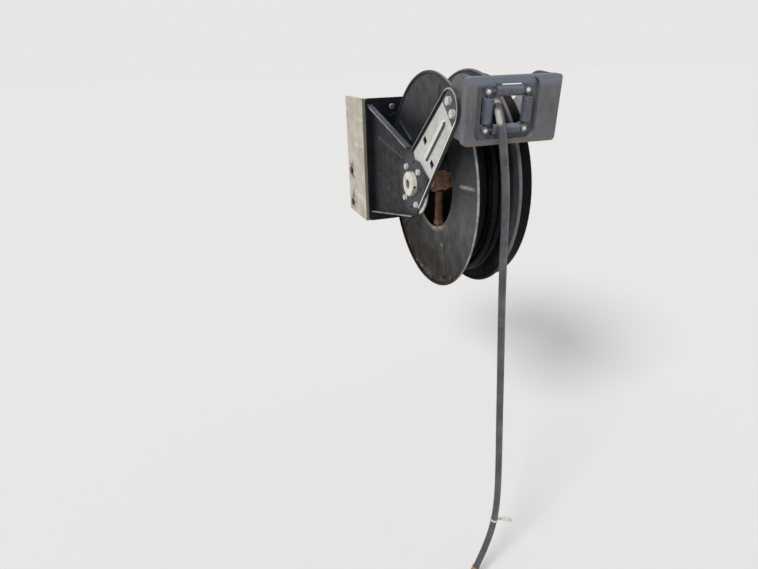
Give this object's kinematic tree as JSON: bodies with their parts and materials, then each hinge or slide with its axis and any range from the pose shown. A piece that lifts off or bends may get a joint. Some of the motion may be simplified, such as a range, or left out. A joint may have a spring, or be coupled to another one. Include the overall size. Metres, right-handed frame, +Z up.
{
  "type": "hose reel",
  "caption": "Spring-rewind hose reel with dished discs, a wound rubber hose, a roller outlet and an angle that bolts it to a machine.",
  "frame": {"origin": "middle of the two slots in the side flange of the mounting angle, on the face that bolts to the machine", "axes": "+Z up, X along the drum's axle, -Y from the mounting angle towards the hose outlet"},
  "size_m": [0.215, 0.7495, 1.1994],
  "materials": {
    "galvanised_steel": "hot-dip galvanised sheet, matt, light grey with a faint spangle",
    "disc_steel": "galvanised sheet gone dull, dusty in the ribs",
    "dark_paint": "dark grey paint, chalky and scuffed on its edges",
    "black_paint": "black paint, satin, dusty",
    "cream_plastic": "cream moulded plastic, yellowed",
    "rusty_steel": "brown rusted forged steel",
    "zinc_steel": "zinc-plated steel",
    "box_plastic": "dark grey moulded plastic, dusty along its lower edge",
    "roller_plastic": "blue-grey nylon, polished by the hose",
    "hose_rubber": "grey-black rubber cover, dusty",
    "wound_rubber": "black rubber cover",
    "brass": "dull brass"
  },
  "bodies": {
    "frame": {"mounting_angle": "galvanised_steel", "base_plate": "black_paint", "wing_near": "dark_paint", "wing_far": "dark_paint", "arm_near": "galvanised_steel", "arm_far": "galvanised_steel", "ear_plate_near": "dark_paint", "ear_plate_far": "dark_paint", "axle": "zinc_steel", "inlet_boss": "cream_plastic", "bearing_flange": "cream_plastic", "outlet_box": "box_plastic", "roller_cage": "zinc_steel", "free_hose": "hose_rubber", "hose_fitting": "brass"},
    "drum": {"disc_near": "disc_steel", "disc_far": "disc_steel", "drum_core": "disc_steel", "drum_sleeve": "zinc_steel", "spring_case": "black_paint", "swivel_body": "rusty_steel", "swivel_collar": "rusty_steel", "swivel_elbow": "rusty_steel", "wound_hose": "wound_rubber"},
    "roller_top": {"roller_top": "roller_plastic"},
    "roller_bottom": {"roller_bottom": "roller_plastic"},
    "roller_left": {"roller_left": "roller_plastic"},
    "roller_right": {"roller_right": "roller_plastic"}
  },
  "joints": [
    {"name": "drum_spin", "type": "hinge", "parent": "frame", "child": "drum", "pos_m": [0.104, -0.42, 0.083], "axis": [1, 0, 0], "continuous": true},
    {"name": "roller_top_spin", "type": "hinge", "parent": "frame", "child": "roller_top", "pos_m": [0.09605, -0.68377, 0.28974], "axis": [1, 0, 0], "continuous": true},
    {"name": "roller_bottom_spin", "type": "hinge", "parent": "frame", "child": "roller_bottom", "pos_m": [0.09605, -0.67677, 0.22311], "axis": [1, 0, 0], "continuous": true},
    {"name": "roller_left_spin", "type": "hinge", "parent": "frame", "child": "roller_left", "pos_m": [0.0568, -0.68027, 0.25643], "axis": [0, -0.1045, 0.9945], "continuous": true},
    {"name": "roller_right_spin", "type": "hinge", "parent": "frame", "child": "roller_right", "pos_m": [0.1353, -0.68027, 0.25643], "axis": [0, -0.1045, 0.9945], "continuous": true}
  ]
}
